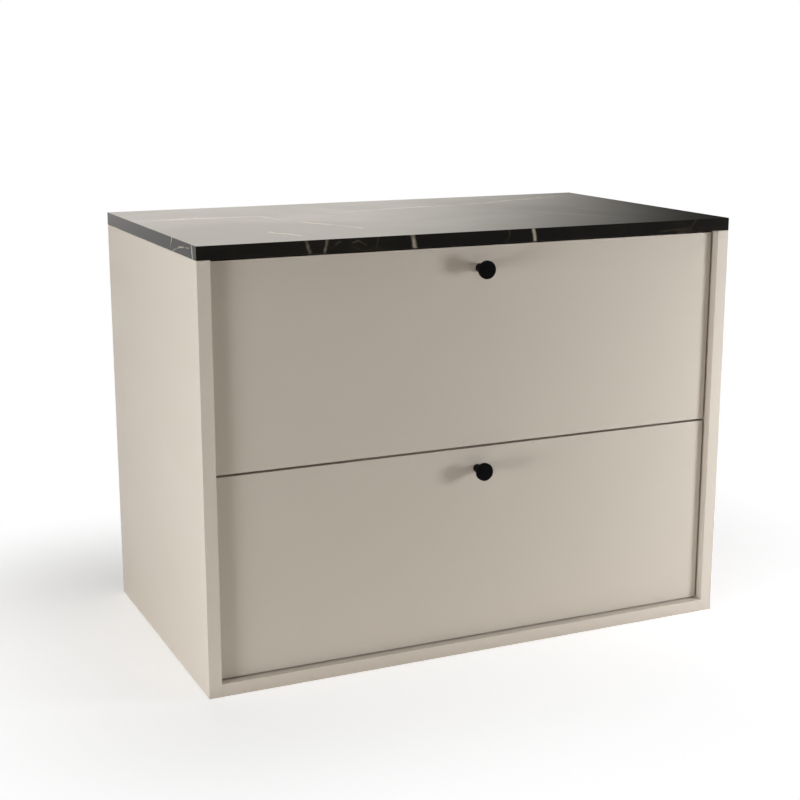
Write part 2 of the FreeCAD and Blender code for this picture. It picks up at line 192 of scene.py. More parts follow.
def spaced(values):
    """The same values under names that have spaces for underscores, as sockets do."""
    return {name.replace("_", " "): value for name, value in values.items()}


def use_group(tree, group, **inputs):
    """The outputs of a group that is placed in a material."""
    return add_node(tree, "ShaderNodeGroup", spaced(inputs), node_tree=group).outputs


print("helpers for trees and groups ready")

# %% [markdown]
# ## Floor
#
# The cabinet is shown on plain white. The floor is a pale disc that takes the object's soft shadow. It
# glows a little, as a light table does, and fills the shaded sides. Far out it turns into pure white, so
# that no horizon shows.

# %% Cut the floor
floor_radius = 6.0
floor_drop = 0.0006
floor_sides = 96

floor_mesh = bpy.data.meshes.new("floor")
disc = bmesh.new()
bmesh.ops.create_circle(disc, cap_ends=True, segments=floor_sides, radius=floor_radius)
bmesh.ops.translate(disc, verts=disc.verts, vec=(0.0, 0.0, -floor_drop))
disc.to_mesh(floor_mesh)
disc.free()
floor = add_object("floor", floor_mesh)
print("floor radius", floor_radius)

# %% Floor finish
floor_colour = (0.80, 0.79, 0.775, 1.0)
floor_dim = 0.985
floor_grain = 3.0
floor_glow = 0.20
glow_colour = (1.0, 0.86, 0.66, 1.0)
floor_lift = 0.29
shadow_near = 0.02
shadow_reach = 0.45
footprint = (0.40, 0.225, 1.0)
no_length = (0.0, 0.0, 0.0)


def seen_rays(tree):
    """1 for rays that show the background, in the picture or in a reflection, and 0 for rays of light."""
    path = add_node(tree, "ShaderNodeLightPath").outputs
    indirect = math_node(tree, "MAXIMUM", path["Is Glossy Ray"], path["Is Transmission Ray"])
    return math_node(tree, "MAXIMUM", path["Is Camera Ray"], indirect)


floor_finish = bpy.data.materials.new("floor_finish")
tree = empty_tree(floor_finish)
place = add_node(tree, "ShaderNodeTexCoord").outputs["Object"]
mirrored = vector_node(tree, "ABSOLUTE", place).outputs[0]
beyond = vector_node(tree, "SUBTRACT", mirrored, footprint).outputs[0]
outside = vector_node(tree, "MAXIMUM", beyond, no_length).outputs[0]
distance = vector_node(tree, "LENGTH", outside).outputs["Value"]
dim_colour = tuple(floor_dim * c for c in floor_colour[:3]) + (1.0,)
grain = noise_node(tree, place, floor_grain)["Fac"]
tone = mix_colour(tree, grain, floor_colour, dim_colour)
lit = add_node(tree, "ShaderNodeBsdfDiffuse", {"Color": tone}).outputs[0]
seen = seen_rays(tree)
lift = math_node(tree, "MULTIPLY_ADD", seen, floor_lift, floor_glow)
glow_tone = mix_colour(tree, seen, glow_colour, grey(1.0))
glow = add_node(tree, "ShaderNodeEmission", {"Color": glow_tone, "Strength": lift}).outputs[0]
near = add_node(tree, "ShaderNodeAddShader", {0: lit, 1: glow}).outputs[0]
white = add_node(tree, "ShaderNodeEmission", {"Color": grey(1.0), "Strength": 1.0}).outputs[0]
edge = map_range(tree, distance, shadow_near, shadow_reach, smooth=True)
whiter = math_node(tree, "MULTIPLY", edge, seen)
blend = add_node(tree, "ShaderNodeMixShader", {0: whiter, 1: near, 2: white}).outputs[0]
add_node(tree, "ShaderNodeOutputMaterial", {"Surface": blend})
floor_mesh.materials.append(floor_finish)
print("floor finish has", len(tree.nodes), "nodes")

# %% [markdown]
# ## Studio
#
# Round the floor lies the world. A world that is white to every ray would light the cabinet from all
# sides and make it look flat. So it is white only to the camera and in reflections. To all other rays it
# is a dim studio that grows bright towards the wall behind the cabinet.

# %% Make the studio world
wall_direction = Vector((0.0, 1.0, 0.0))
wall_fade_start = math.cos(math.radians(39.5))
wall_fade_end = math.cos(math.radians(22.0))
wall_colour = (1.0, 0.955, 0.88, 1.0)
wall_light = 1.05
room_light = 0.06


def wall_fall_off(tree, towards, brightest):
    """Bright in the direction of the wall, and down to the room's dim light away from it."""
    facing = vector_node(tree, "DOT_PRODUCT", towards, wall_direction).outputs["Value"]
    return map_range(tree, facing, wall_fade_start, wall_fade_end, room_light, brightest, smooth=True)


world = bpy.data.worlds.new("studio")
tree = empty_tree(world)
towards = add_node(tree, "ShaderNodeTexCoord").outputs["Generated"]
studio = wall_fall_off(tree, towards, wall_light)
seen = seen_rays(tree)
around = add_node(tree, "ShaderNodeBackground", {"Color": wall_colour, "Strength": studio}).outputs[0]
white = add_node(tree, "ShaderNodeBackground", {"Color": grey(1.0), "Strength": 1.0}).outputs[0]
either = add_node(tree, "ShaderNodeMixShader", {0: seen, 1: around, 2: white}).outputs[0]
add_node(tree, "ShaderNodeOutputWorld", {"Surface": either})
bpy.context.scene.world = world
print("studio wall towards", [round(v, 2) for v in wall_direction])

# %% [markdown]
# ## Wall behind the cabinet
#
# The satin worktop mirrors what stands behind it: in the photo it is bright at the left and falls off to
# dark at the right. A curved wall far behind the cabinet has that fall-off. It stands only in
# reflections, so that it hides nothing and throws no light on the boards.

# %% Bend the wall
wall_radius = 12.0
wall_low = -3.0
wall_high = 14.0
wall_left = math.radians(-50.0)
wall_right = math.radians(80.0)
wall_steps = 26

wall_points = []
for step in range(wall_steps + 1):
    turn = wall_left + (wall_right - wall_left) * step / wall_steps
    for height in (wall_low, wall_high):
        wall_points.append((wall_radius * math.sin(turn), wall_radius * math.cos(turn), height))
wall_faces = [(2 * s, 2 * s + 2, 2 * s + 3, 2 * s + 1) for s in range(wall_steps)]
wall_mesh = bpy.data.meshes.new("back_wall")
wall_mesh.from_pydata(wall_points, [], wall_faces)
wall = add_object("back_wall", wall_mesh)
wall.visible_camera = False
wall.visible_diffuse = False
wall.visible_transmission = False
wall.visible_shadow = False
print("wall faces", len(wall_mesh.polygons))

# %% Wall finish
wall_shine = 1.42

wall_finish = bpy.data.materials.new("wall_finish")
tree = empty_tree(wall_finish)
place = add_node(tree, "ShaderNodeTexCoord").outputs["Object"]
towards = vector_node(tree, "NORMALIZE", place).outputs[0]
shine = wall_fall_off(tree, towards, wall_shine)
lit = add_node(tree, "ShaderNodeEmission", {"Color": wall_colour, "Strength": shine}).outputs[0]
add_node(tree, "ShaderNodeOutputMaterial", {"Surface": lit})
wall_mesh.materials.append(wall_finish)
print("wall finish has", len(tree.nodes), "nodes")

# %% [markdown]
# ## Lamps
#
# The left panel is bright towards the front, so two low lamps stand at the left, one behind the other.
# The drawer fronts grow brighter to the right, and the knobs throw soft shadows to the left, so a low
# lamp stands at the front right. The worktop's dark front edge shows no bright spot, so that lamp is kept
# out of reflections. A wide lamp overhead fills the top and the open drawers. Area lamps are chosen
# because their shadows have soft edges. The nearer lamps are a little cool and the floor's glow is warm,
# because the bright parts are more neutral than the shaded ones.

# %% Hang the lamps
lamp_aim = Vector((0.0, 0.0, 0.30))
cool_white = (0.95, 0.985, 1.06)
plain_white = (1.0, 1.0, 1.0)


def add_lamp(name, shape, width, power, colour, place, turn):
    """An area lamp, which shines down until it is turned."""
    data = bpy.data.lights.new(name, "AREA")
    data.shape = shape
    data.size = width
    data.energy = power
    data.color = colour
    lamp = add_object(name, data)
    lamp.location = place
    lamp.rotation_euler = turn
    return lamp


def hang_lamp(name, width, power, colour, place):
    """A round lamp that looks at the middle of the cabinet."""
    turn = (lamp_aim - Vector(place)).to_track_quat("-Z", "Y").to_euler()
    return add_lamp(name, "DISK", width, power, colour, place, turn)


hang_lamp("left_lamp", width=0.46, power=14.2, colour=cool_white, place=(-1.75, -0.66, 0.24))
hang_lamp("far_left_lamp", width=0.46, power=5.1, colour=plain_white, place=(-2.38, -1.28, 0.24))
right_lamp = hang_lamp("right_lamp", width=0.30, power=7.4, colour=cool_white, place=(0.98, -0.80, 0.38))
right_lamp.visible_glossy = False
hang_lamp("top_lamp", width=1.20, power=7.0, colour=plain_white, place=(0.00, -0.52, 2.60))

# %% [markdown]
# ## Strip of light
#
# The fronts also grow brighter downwards, as if the floor before them shone. A stronger glow of the whole
# floor would light the left panel too, so a strip of light lies on the floor before the fronts, out of
# sight.

# %% Lay the strip
strip_place = (0.0, -0.33, 0.004)
strip_length = 1.20
strip_depth = 0.18
strip_power = 0.20
facing_up = (math.pi, 0.0, 0.0)

strip = add_lamp("front_strip", "RECTANGLE", strip_length, strip_power, cool_white, strip_place, facing_up)
strip.data.size_y = strip_depth
strip.visible_camera = False
strip.visible_glossy = False
print("strip", strip.name, "at", strip_place)

# %% [markdown]
# ## Shared effects
#
# A painted or laminated board is never one even colour: its tone drifts slowly over a hand's breadth, the
# sheen varies where it has been wiped, and the film has a fine relief. These three effects are groups, so
# that every finish can use them with its own scale and strength. They only put out values, and the shader
# stays in the finish.

# %% Tone that drifts over a surface
def build_drift_group():
    """A colour made lighter and darker by slow clouds and by fine specks."""
    inputs = {"Vector": ("Vector", None), "Colour": ("Color", grey(0.5)), "Scale": ("Float", 5.0),
              "Amount": ("Float", 0.03), "Speck Scale": ("Float", 400.0), "Speck Amount": ("Float", 0.01)}
    group, entry, leave = start_group("tone_drift", inputs, {"Colour": "Color"})
    clouds = noise_node(group, entry["Vector"], entry["Scale"], detail=3.0)["Fac"]
    specks = noise_node(group, entry["Vector"], entry["Speck Scale"], detail=1.0)["Fac"]
    slow = swing(group, clouds, entry["Amount"])
    fine = swing(group, specks, entry["Speck Amount"])
    both = math_node(group, "MULTIPLY", math_node(group, "ADD", slow, fine), 2.0)
    gain = math_node(group, "ADD", both, 1.0)
    group.links.new(scale_vector(group, entry["Colour"], gain), leave["Colour"])
    return group


tone_drift = build_drift_group()
print("group", tone_drift.name)

# %% Sheen that varies where a surface was wiped
even = (1.0, 1.0, 1.0)
smear_low = 0.3
smear_high = 0.7


def build_sheen_group():
    """A roughness that goes between two values in long smears."""
    inputs = {"Vector": ("Vector", None), "Scale": ("Float", 4.0), "Stretch": ("Vector", even),
              "Least": ("Float", 0.4), "Most": ("Float", 0.5)}
    group, entry, leave = start_group("wiped_sheen", inputs, {"Roughness": "Float"})
    pulled = vector_node(group, "MULTIPLY", entry["Vector"], entry["Stretch"]).outputs[0]
    smears = noise_node(group, pulled, entry["Scale"], detail=4.0, distortion=0.6)["Fac"]
    sheen = map_range(group, smears, smear_low, smear_high, entry["Least"], entry["Most"], smooth=True)
    group.links.new(sheen, leave["Roughness"])
    return group


wiped_sheen = build_sheen_group()
print("group", wiped_sheen.name)


# %% Fine relief of a film
def build_relief_group():
    """A height for a bump, drawn out along the axes with a small stretch."""
    inputs = {"Vector": ("Vector", None), "Scale": ("Float", 500.0), "Stretch": ("Vector", even),
              "Contrast": ("Float", 1.0)}
    group, entry, leave = start_group("film_relief", inputs, {"Height": "Float"})
    pulled = vector_node(group, "MULTIPLY", entry["Vector"], entry["Stretch"]).outputs[0]
    bumps = noise_node(group, pulled, entry["Scale"])["Fac"]
    group.links.new(swing(group, bumps, entry["Contrast"]), leave["Height"])
    return group


film_relief = build_relief_group()
print("group", film_relief.name)

# %% [markdown]
# ## Starting a finish
#
# Each finish is a Principled shader fed by the groups. The helpers below start one from a colour as it
# would be read off a colour chart, turn that into the linear values which Blender works with, and hand
# back the tree, its shader and the coordinates of the piece. Those are Object coordinates, which are the
# cabinet's own metres.

# %% Helpers for finishes
def chart(red, green, blue):
    """A colour chart's 0 to 255 values as Blender's linear colour."""
    def linear(value):
        share = value / 255.0
        return share / 12.92 if share <= 0.04045 else ((share + 0.055) / 1.055) ** 2.4
    return (linear(red), linear(green), linear(blue), 1.0)


def start_finish(name, **shader_values):
    """A material with one Principled shader; the values are those that stay the same all over."""
    finish = bpy.data.materials.new(name + "_finish")
    tree = empty_tree(finish)
    place = add_node(tree, "ShaderNodeTexCoord").outputs["Object"]
    shader = add_node(tree, "ShaderNodeBsdfPrincipled", spaced(shader_values))
    add_node(tree, "ShaderNodeOutputMaterial", {"Surface": shader.outputs[0]})
    return finish, tree, shader, place


def add_sheen(tree, shader, place, scale, stretch, least, most):
    """Feeds a wiped sheen to the shader's roughness."""
    sheen = use_group(tree, wiped_sheen, Vector=place, Scale=scale, Stretch=stretch, Least=least, Most=most)
    tree.links.new(sheen["Roughness"], shader.inputs["Roughness"])


def add_bump(tree, shader, height, depth):
    """Feeds a relief, whose full height is this depth in metres, to the shader's normal."""
    bump = add_node(tree, "ShaderNodeBump", {"Height": height, "Distance": depth})
    tree.links.new(bump.outputs[0], shader.inputs["Normal"])


print("helpers for finishes ready")

# %% [markdown]
# ## Beige lacquer
#
# The sides, bottom and drawer fronts are sprayed in a matt warm beige. Sprayed lacquer has a faint
# orange-peel relief and an even, low sheen. A flat colour would look like plastic, so the tone drifts by
# about one part in a hundred and the sheen varies a little where hands and cloths have passed. The fronts
# get a darker copy of the same lacquer, which is painted shade for the recess they sit back in, so one
# function sprays both tones.

# %% Lacquer
def sprayed_lacquer(name, colour):
    """A matt sprayed coat with a faint orange peel."""
    finish, tree, shader, place = start_finish(name, IOR=1.33)
    tinted = use_group(tree, tone_drift, Vector=place, Colour=colour, Scale=4.0, Amount=0.02,
                       Speck_Scale=900.0, Speck_Amount=0.012)["Colour"]
    tree.links.new(tinted, shader.inputs["Base Color"])
    add_sheen(tree, shader, place, scale=3.5, stretch=(1.0, 1.0, 2.5), least=0.47, most=0.56)
    peel = use_group(tree, film_relief, Vector=place, Scale=420.0)["Height"]
    add_bump(tree, shader, peel, depth=0.00006)
    return finish


# The frame's lacquer and a darker copy for the fronts: the darker tone is painted shade, standing in for the
# shade of the recess that the fronts sit back in.
lacquer = sprayed_lacquer("lacquer", chart(208, 198, 184))
front_lacquer = sprayed_lacquer("front_lacquer", chart(201, 191, 177))
print("lacquers", lacquer.name, front_lacquer.name)

# %% [markdown]
# ## Marble-look worktop
#
# The worktop is a black laminate printed like marble: a nearly black ground with brown clouds, a faint
# net of hairline cracks, and a few clear pale veins that cross it. A noise texture can make the net, but
# the clear veins have their own places, so each is laid leg by leg by a small group that measures the
# distance to a line. The line swells and thins from point to point and has a faint halo, and a noise
# bends it and breaks its strength, as in stone.

# %% One leg of a vein between two points
halo_spread = 3.5


def build_vein_group():
    """A mask that is 1 on the line and falls to 0 over the line's own width."""
    inputs = {"Vector": ("Vector", None), "Start": ("Vector", None), "End": ("Vector", None),
              "Start Width": ("Float", 0.002), "End Width": ("Float", 0.002), "Halo": ("Float", 0.0),
              "Strength": ("Float", 1.0)}
    group, entry, leave = start_group("vein", inputs, {"Mask": "Float"})
    run = vector_node(group, "SUBTRACT", entry["End"], entry["Start"]).outputs[0]
    away = vector_node(group, "SUBTRACT", entry["Vector"], entry["Start"]).outputs[0]
    along = vector_node(group, "DOT_PRODUCT", away, run).outputs["Value"]
    square = vector_node(group, "DOT_PRODUCT", run, run).outputs["Value"]
    share = math_node(group, "DIVIDE", along, square, clamp=True)
    foot = scale_vector(group, run, share)
    gap = vector_node(group, "DISTANCE", away, foot).outputs["Value"]
    width = map_range(group, share, 0.0, 1.0, entry["Start Width"], entry["End Width"])
    core = map_range(group, gap, 0.0, width, 1.0, 0.0, smooth=True)
    spread = math_node(group, "MULTIPLY", width, halo_spread)
    halo = map_range(group, gap, 0.0, spread, entry["Halo"], 0.0, smooth=True)
    mask = math_node(group, "MULTIPLY", math_node(group, "MAXIMUM", core, halo), entry["Strength"])
    group.links.new(mask, leave["Mask"])
    return group


vein = build_vein_group()
print("group", vein.name)

# %% Where the clear veins run
worktop_low, worktop_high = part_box("worktop")
past_edge = 0.001
above = worktop_high.z + past_edge
below = worktop_low.z - past_edge
tip = 0.0005
thin = 0.0021
line = 0.0032
wide = 0.0048
broad = 0.0080

top_routes = [
    ([(-0.394, 0.086, thin), (-0.310, 0.082, broad), (-0.210, 0.080, thin)], 0.85),
    ([(-0.210, 0.080, thin), (-0.187, -0.010, tip), (-0.168, -0.045, line), (-0.134, -0.125, thin)], 1.00),
    ([(-0.128, 0.074, tip), (0.060, 0.103, broad), (0.140, 0.108, line)], 0.65),
    ([(0.140, 0.108, line), (0.280, 0.155, broad), (0.380, 0.179, tip)], 0.85),
    ([(-0.264, -0.116, thin), (-0.254, -0.146, line), (-0.244, -0.176, thin)], 1.00),
    ([(0.186, -0.038, tip), (0.230, -0.105, thin), (0.272, -0.176, tip)], 0.75),
    ([(0.267, 0.002, tip), (0.284, -0.039, thin), (0.320, -0.072, tip)], 0.65),
    ([(-0.310, 0.082, thin), (-0.292, 0.138, tip), (-0.262, 0.192, tip)], 0.35),
    ([(0.060, 0.103, thin), (0.088, 0.158, tip), (0.074, 0.216, tip)], 0.35),
    ([(0.140, 0.108, thin), (0.172, 0.060, tip), (0.186, -0.038, tip)], 0.30),
]
front_routes = [
    ([(-0.255, above, line), (-0.248, below, line)], 0.27),
    ([(-0.224, above, line), (-0.229, below, line)], 0.38),
    ([(-0.221, 0.588, thin), (-0.209, 0.596, thin), (-0.201, 0.590, tip)], 0.13),
    ([(-0.196, 0.592, tip), (-0.183, 0.597, thin), (-0.166, 0.588, tip)], 0.10),
    ([(-0.108, above, wide), (-0.101, below, wide)], 0.62),
    ([(0.077, above, wide), (0.079, below, wide)], 0.70),
]
left_routes = [
    ([(-0.121, above, thin), (-0.112, 0.584, tip)], 0.70),
    ([(-0.122, 0.583, thin), (-0.152, 0.591, thin), (-0.204, 0.595, tip)], 0.60),
    ([(-0.206, above, wide), (-0.210, below, wide)], 0.60),
]
print("clear veins on top", len(top_routes), "front", len(front_routes), "left", len(left_routes))


# %% Put the routes on the faces of the worktop
def routes_on(face, routes):
    """The same routes, with the two measures of each point turned into a place on a face."""
    placed = []
    for points, strength in routes:
        placed.append(([(face(first, second), width) for first, second, width in points], strength))
    return placed


face_routes = routes_on(lambda x, y: (x, y, worktop_high.z), top_routes)
edge_routes = routes_on(lambda x, z: (x, worktop_low.y, z), front_routes)
edge_routes += routes_on(lambda y, z: (worktop_low.x, y, z), left_routes)
print("first point of the first route", face_routes[0][0][0])

# %% Lay the clear veins
warm_shine = (1.0, 0.93, 0.84, 1.0)
bend_scale = 38.0
bend_reach = (0.011, 0.011, 0.004)
meander_scale = 11.0
meander_reach = (0.030, 0.030, 0.0)
break_scale = 55.0
break_low = 0.30
break_high = 0.55
faintest = 0.35
vein_halo = 0.14


def bend(tree, start, scale, reach):
    """Coordinates pushed to and fro by a noise."""
    noise = noise_node(tree, start, scale, detail=3.0)["Color"]
    centred = vector_node(tree, "SUBTRACT", noise, (noise_middle, noise_middle, noise_middle)).outputs[0]
    push = vector_node(tree, "MULTIPLY", centred, reach).outputs[0]
    return vector_node(tree, "ADD", start, push).outputs[0]


def lay_veins(tree, routes, around, halo):
    """The strongest mask of all the legs of these routes."""
    mask = 0.0
    for points, strength in routes:
        for (start, start_width), (end, end_width) in zip(points, points[1:]):
            leg = use_group(tree, vein, Vector=around, Start=start, End=end, Start_Width=start_width,
                            End_Width=end_width, Halo=halo, Strength=strength)["Mask"]
            mask = math_node(tree, "MAXIMUM", mask, leg)
    return mask


worktop_laminate, tree, shader, place = start_finish("worktop_laminate", IOR=1.17, Specular_Tint=warm_shine)
bent = bend(tree, place, bend_scale, bend_reach)
meander = bend(tree, bent, meander_scale, meander_reach)
broken = map_range(tree, noise_node(tree, place, break_scale)["Fac"], break_low, break_high, at_low=faintest)
top_mask = math_node(tree, "MULTIPLY", lay_veins(tree, face_routes, meander, vein_halo), broken)
edge_mask = math_node(tree, "MULTIPLY", lay_veins(tree, edge_routes, bent, 0.0), broken)
mask = math_node(tree, "MAXIMUM", top_mask, edge_mask)
print("veins take", len(tree.nodes), "nodes")

# %% Ground and hairline net
ground_colour = chart(14, 13, 11)
cloud_colour = chart(31, 27, 22)
cloud_scale = 9.0
cloud_low = 0.5
cloud_high = 0.75
net_colour = chart(92, 78, 60)
net_scale = 15.0
net_bend = 5.0
net_reach = (0.10, 0.10, 0.02)
net_turn = (0.0, 0.0, math.radians(32.0))
net_stretch = (0.7, 1.9, 1.0)
hairline_width = 0.030
patch_scale = 14.0
patch_low = 0.50
patch_high = 0.72
net_strength = 0.42

clouds = noise_node(tree, place, cloud_scale, detail=5.0)["Fac"]
cloudy = map_range(tree, clouds, cloud_low, cloud_high)
ground = mix_colour(tree, cloudy, ground_colour, cloud_colour)
warped = bend(tree, meander, net_bend, net_reach)
mapping = {"Vector": warped, "Rotation": net_turn, "Scale": net_stretch}
slanted = add_node(tree, "ShaderNodeMapping", mapping).outputs[0]
cells = {"Vector": slanted, "Scale": net_scale}
cracks = add_node(tree, "ShaderNodeTexVoronoi", cells, feature="DISTANCE_TO_EDGE").outputs[0]
hairline = map_range(tree, cracks, 0.0, hairline_width, 1.0, 0.0)
patches = noise_node(tree, place, patch_scale)["Fac"]
shown = map_range(tree, patches, patch_low, patch_high, at_high=net_strength)
netted = mix_colour(tree, math_node(tree, "MULTIPLY", hairline, shown), ground, net_colour)
print("ground and net bring it to", len(tree.nodes), "nodes")

# %% Put the laminate together
vein_colour = chart(206, 196, 172)
vein_pearl = 0.6

marble = mix_colour(tree, mask, netted, vein_colour)
tree.links.new(marble, shader.inputs["Base Color"])
tree.links.new(math_node(tree, "MULTIPLY", top_mask, vein_pearl), shader.inputs["Metallic"])
add_sheen(tree, shader, place, scale=5.0, stretch=even, least=0.16, most=0.19)
relief = use_group(tree, film_relief, Vector=place, Scale=650.0)["Height"]
add_bump(tree, shader, relief, depth=0.000012)
print("worktop finish has", len(tree.nodes), "nodes")

# %% [markdown]
# ## Boards inside
#
# The drawer boxes and the hidden rails are melamine-faced chipboard: a printed paper with a dry, finely
# pressed surface. The boxes are a mid grey and the rails nearly match the lacquer. The pressed surface is
# a linen of fine crossing lines, made from two stretched noises that are added together.

# %% Melamine finishes
def melamine(name, colour, least, most):
    """A pressed melamine face."""
    finish, tree, shader, place = start_finish(name, IOR=1.45)
    tinted = use_group(tree, tone_drift, Vector=place, Colour=colour, Scale=7.0, Amount=0.03,
                       Speck_Scale=700.0, Speck_Amount=0.05)["Colour"]
    tree.links.new(tinted, shader.inputs["Base Color"])
    add_sheen(tree, shader, place, scale=5.0, stretch=even, least=least, most=most)
    warp = use_group(tree, film_relief, Vector=place, Scale=300.0, Stretch=(0.2, 3.0, 3.0))["Height"]
    weft = use_group(tree, film_relief, Vector=place, Scale=300.0, Stretch=(3.0, 0.2, 0.2))["Height"]
    add_bump(tree, shader, math_node(tree, "ADD", warp, weft), depth=0.00012)
    return finish


carcass_board = melamine("carcass_board", chart(200, 191, 179), least=0.50, most=0.60)
drawer_board = melamine("drawer_board", chart(152, 150, 144), least=0.46, most=0.58)
drawer_bottom = melamine("drawer_bottom", chart(162, 160, 153), least=0.46, most=0.58)
print("melamine finishes", carcass_board.name, drawer_board.name, drawer_bottom.name)

# %% [markdown]
# ## Metals
#
# The runner rails are rolled steel with a bright zinc plating: fine drawn lines along the rail, and slow
# patches of sheen. The balls are polished, the screws are plated, and the cams are a duller cast zinc.
# One function makes all four from the drift, sheen and relief groups.

# %% Metal finishes
def plated_metal(name, colour, least, most, stretch, relief_scale, relief_depth):
    """A bare or plated metal with its own drawn or cast texture."""
    finish, tree, shader, place = start_finish(name, Metallic=1.0)
    tinted = use_group(tree, tone_drift, Vector=place, Colour=colour, Scale=30.0, Amount=0.05,
                       Speck_Scale=1500.0, Speck_Amount=0.03)["Colour"]
    tree.links.new(tinted, shader.inputs["Base Color"])
    add_sheen(tree, shader, place, scale=24.0, stretch=stretch, least=least, most=most)
    lines = use_group(tree, film_relief, Vector=place, Scale=relief_scale, Stretch=stretch)["Height"]
    add_bump(tree, shader, lines, relief_depth)
    return finish


along_rail = (4.0, 0.15, 4.0)

runner_steel = plated_metal("runner_steel", chart(196, 198, 200), least=0.26, most=0.40,
                            stretch=along_rail, relief_scale=500.0, relief_depth=0.00004)
ball_steel = plated_metal("ball_steel", chart(206, 207, 209), least=0.10, most=0.18,
                          stretch=even, relief_scale=900.0, relief_depth=0.00001)
screw_steel = plated_metal("screw_steel", chart(200, 199, 190), least=0.24, most=0.36,
                           stretch=even, relief_scale=900.0, relief_depth=0.00003)
cam_zinc = plated_metal("cam_zinc", chart(168, 168, 167), least=0.38, most=0.52,
                        stretch=even, relief_scale=700.0, relief_depth=0.00006)
print("metal finishes", [metal.name for metal in (runner_steel, ball_steel, screw_steel, cam_zinc)])

# %% [markdown]
# ## Beech dowels
#
# The dowels are plain beech, pale brown with short dark flecks along the grain. An image of wood would
# need more care than so small a piece is worth. The relief group, drawn out along the dowel and with more
# contrast, gives both the flecks and their depth.

# %% Dowel finish
beech_colour = chart(196, 155, 112)
beech_fleck = chart(150, 108, 70)
along_dowel = (0.2, 4.0, 4.0)
fleck_share = 0.3

beech, tree, shader, place = start_finish("beech", IOR=1.45)
grain = use_group(tree, film_relief, Vector=place, Scale=220.0, Stretch=along_dowel, Contrast=3.0)["Height"]
flecks = math_node(tree, "ADD", grain, fleck_share, clamp=True)
wood = mix_colour(tree, flecks, beech_colour, beech_fleck)
tree.links.new(wood, shader.inputs["Base Color"])
add_sheen(tree, shader, place, scale=60.0, stretch=along_dowel, least=0.55, most=0.7)
add_bump(tree, shader, grain, depth=0.0001)
print("finish", beech.name)

# %% [markdown]
# ## Black knobs
#
# The knobs are metal with a matt black coat. Under such a coat no bare metal shows, so the shader is a
# plain dark one. The coat's fine texture spreads the light, so that the edge of the disc shows only as a
# soft grey line.

# %% Knob finish
knob_colour = chart(6, 6, 6)

knob_black, tree, shader, place = start_finish("knob_black", IOR=1.12)
coat = use_group(tree, tone_drift, Vector=place, Colour=knob_colour, Scale=60.0, Amount=0.08,
                 Speck_Scale=1800.0, Speck_Amount=0.15)["Colour"]
tree.links.new(coat, shader.inputs["Base Color"])
add_sheen(tree, shader, place, scale=70.0, stretch=even, least=0.42, most=0.52)
relief = use_group(tree, film_relief, Vector=place, Scale=3800.0)["Height"]
add_bump(tree, shader, relief, depth=0.00003)
print("finish", knob_black.name)

# %% [markdown]
# ## Finishes on the CAD boards
#
# The record of the CAD model says which finish each node takes, under the name of a slot. The finishes
# above carry the same names, so one loop puts them all on. The two drawer fronts then get the darker
# copy of the lacquer, whose extra darkness is painted shade for the recess they sit in.

# %% Put the finishes on
levels = ("upper", "lower")
finishes = {
    "lacquer": lacquer,
    "worktop_laminate": worktop_laminate,
    "carcass_board": carcass_board,
    "drawer_board": drawer_board,
    "drawer_bottom": drawer_bottom,
    "runner_steel": runner_steel,
    "ball_steel": ball_steel,
    "screw_steel": screw_steel,
    "cam_zinc": cam_zinc,
    "beech": beech,
    "knob_black": knob_black,
}


def put_on(node, finish):
    """Gives a CAD node this finish alone."""
    mesh = frame["nodes"][node].data
    mesh.materials.clear()
    mesh.materials.append(finish)


for subpart in frame["record"]["subparts"]:
    put_on(subpart["node"], finishes[subpart["material_slot"]])
# The fronts take the darker lacquer, whose extra darkness is painted shade for their recess.
for level in levels:
    put_on(level + "_drawer_front", front_lacquer)

# %% [markdown]
# ## Turned knobs
#
# Each drawer has one small knob: a flat disc on a stem, with a hollow flare between them. A turner would
# cut it on a lathe, and the helper below does the same: it spins a profile of radii and heights round an
# axis, closes the seam and turns the faces outwards. A small bevel eases the rim, so that it catches a
# soft line of light.

# %% Lathe helper
same_point = 1e-6
sharp_angle = math.radians(35.0)


def lathe(name, profile, sides):
    """A mesh spun round Z from (radius, height) pairs, starting and ending on the axis."""
    mesh = bpy.data.meshes.new(name)
    work = bmesh.new()
    row = [work.verts.new((radius, 0.0, height)) for radius, height in profile]
    edges = [work.edges.new(pair) for pair in zip(row, row[1:])]
    bmesh.ops.spin(work, geom=row + edges, cent=(0, 0, 0), axis=(0, 0, 1), angle=2 * math.pi, steps=sides)
    bmesh.ops.remove_doubles(work, verts=work.verts, dist=same_point)
    bmesh.ops.recalc_face_normals(work, faces=work.faces)
    work.to_mesh(mesh)
    work.free()
    return mesh


def bake(piece):
    """Replaces a piece's mesh by what its modifiers make of it, and removes them."""
    graph = bpy.context.evaluated_depsgraph_get()
    made = bpy.data.meshes.new_from_object(piece.evaluated_get(graph))
    piece.modifiers.clear()
    piece.data = made
    made.name = piece.name
    return made


def smooth(mesh):
    """Smooth shading, except across sharp edges."""
    mesh.shade_smooth()
    mesh.set_sharp_from_angle(angle=sharp_angle)


print("lathe ready")

# %% Turn the knobs
knob_profile = [
    (0.0, 0.0091), (0.0021, 0.0091), (0.0021, 0.0), (0.0060, 0.0), (0.0060, 0.0130), (0.0063, 0.0148),
    (0.0074, 0.0168), (0.0093, 0.0185), (0.0125, 0.0202), (0.0125, 0.0250), (0.0, 0.0250),
]
knob_sides = 48
ease_width = 0.0005
ease_steps = 3
ease_angle = math.radians(50.0)

